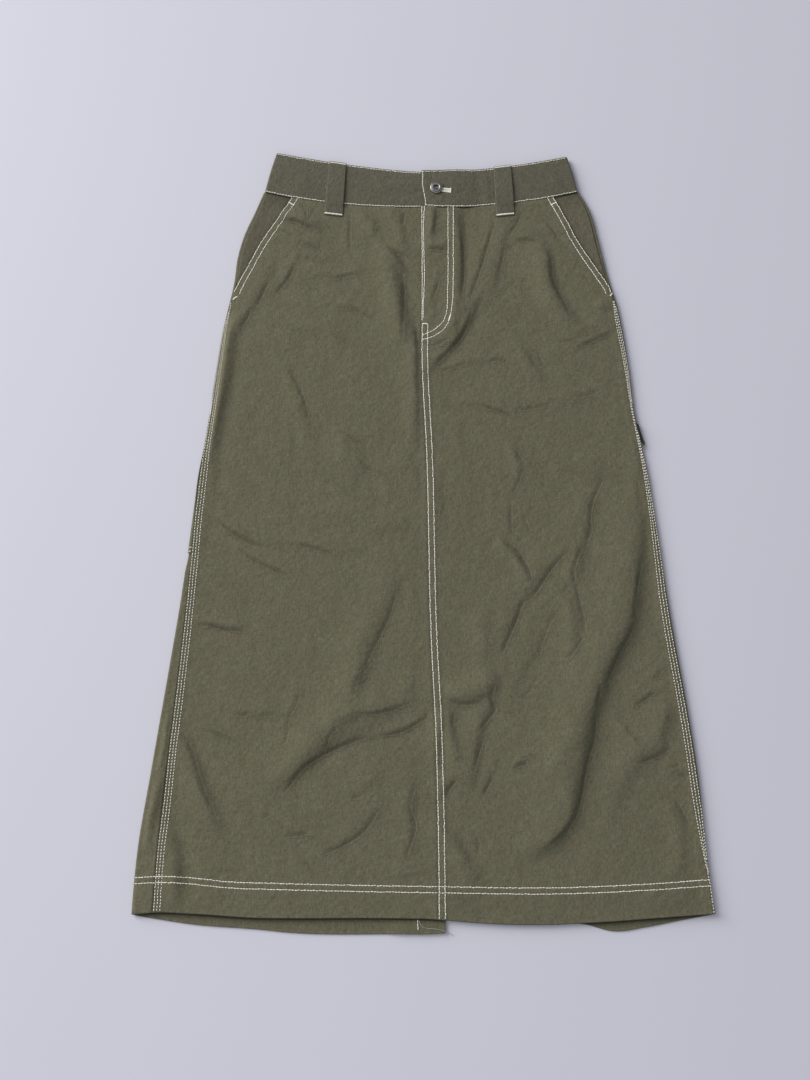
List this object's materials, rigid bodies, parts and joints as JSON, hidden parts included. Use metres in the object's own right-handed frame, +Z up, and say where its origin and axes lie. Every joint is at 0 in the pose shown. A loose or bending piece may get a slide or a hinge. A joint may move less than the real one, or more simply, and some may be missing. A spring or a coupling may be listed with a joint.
{
  "type": "cargo utility skirt",
  "caption": "Long A-line work skirt in cotton twill, laid flat with the front up: waistband, fly, slanted hip pockets, tool pocket, hammer loop, back vent.",
  "frame": {"origin": "centre of the bounding box on the ground that the skirt lies on", "axes": "+X to the wearer's left, +Y up the skirt to the waist, +Z up off the ground, the front's way"},
  "size_m": [0.6296, 0.9149, 0.0133],
  "materials": {
    "front_twill": "washed cotton twill",
    "back_twill": "washed cotton twill",
    "band_twill": "washed cotton twill",
    "pocket_twill": "washed cotton twill",
    "strap_twill": "washed cotton twill",
    "zip_tape": "woven tape",
    "button_metal": "dark burnished metal"
  },
  "bodies": {
    "root": {"front_right": "front_twill", "front_left": "front_twill", "back_right": "back_twill", "back_left": "back_twill", "hip_pocket_right": "pocket_twill", "hip_pocket_left": "pocket_twill", "tool_pocket": "pocket_twill", "fly_zip": "zip_tape", "waistband_right": "band_twill", "waistband_left": "band_twill", "belt_loop_front_right": "strap_twill", "belt_loop_front_left": "strap_twill", "belt_loop_back_right": "strap_twill", "belt_loop_back_centre": "strap_twill", "belt_loop_back_left": "strap_twill", "hammer_loop": "strap_twill", "button": "button_metal"}
  },
  "joints": []
}
